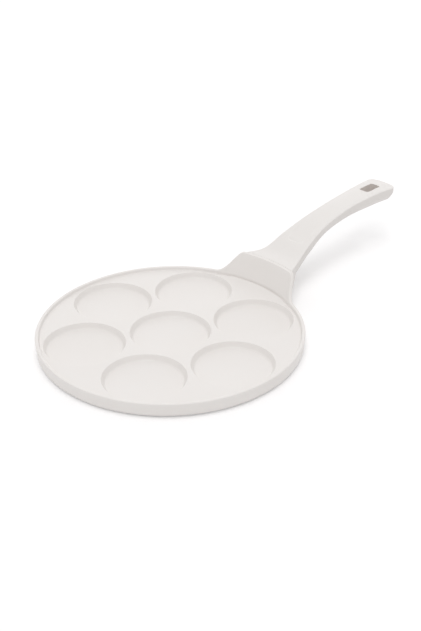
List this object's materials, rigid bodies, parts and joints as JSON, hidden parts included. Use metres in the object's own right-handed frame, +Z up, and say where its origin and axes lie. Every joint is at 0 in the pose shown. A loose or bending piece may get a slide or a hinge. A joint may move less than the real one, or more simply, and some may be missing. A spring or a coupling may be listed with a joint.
{
  "type": "pancake pan",
  "caption": "Round cast pan with shallow round cups for small pancakes, a low rim that rises into an apron, and a curved bolted handle with a hanging slot.",
  "frame": {"origin": "centre of the pan's underside, on the surface that it rests on", "axes": "+X along the handle, away from the pan; +Y across the pan; +Z up"},
  "size_m": [0.4598, 0.26, 0.064],
  "materials": {
    "pan_coating": "cream non-stick coating, satin",
    "handle_coating": "cream soft-touch coating, matte",
    "plate_steel": "brushed",
    "fastener_steel": "plated"
  },
  "bodies": {
    "root": {"pan_body": "pan_coating", "induction_plate": "plate_steel", "handle": "handle_coating", "thread_bush": "fastener_steel", "handle_bolt": "fastener_steel", "flat_washer": "fastener_steel", "spring_washer": "fastener_steel"}
  },
  "joints": []
}
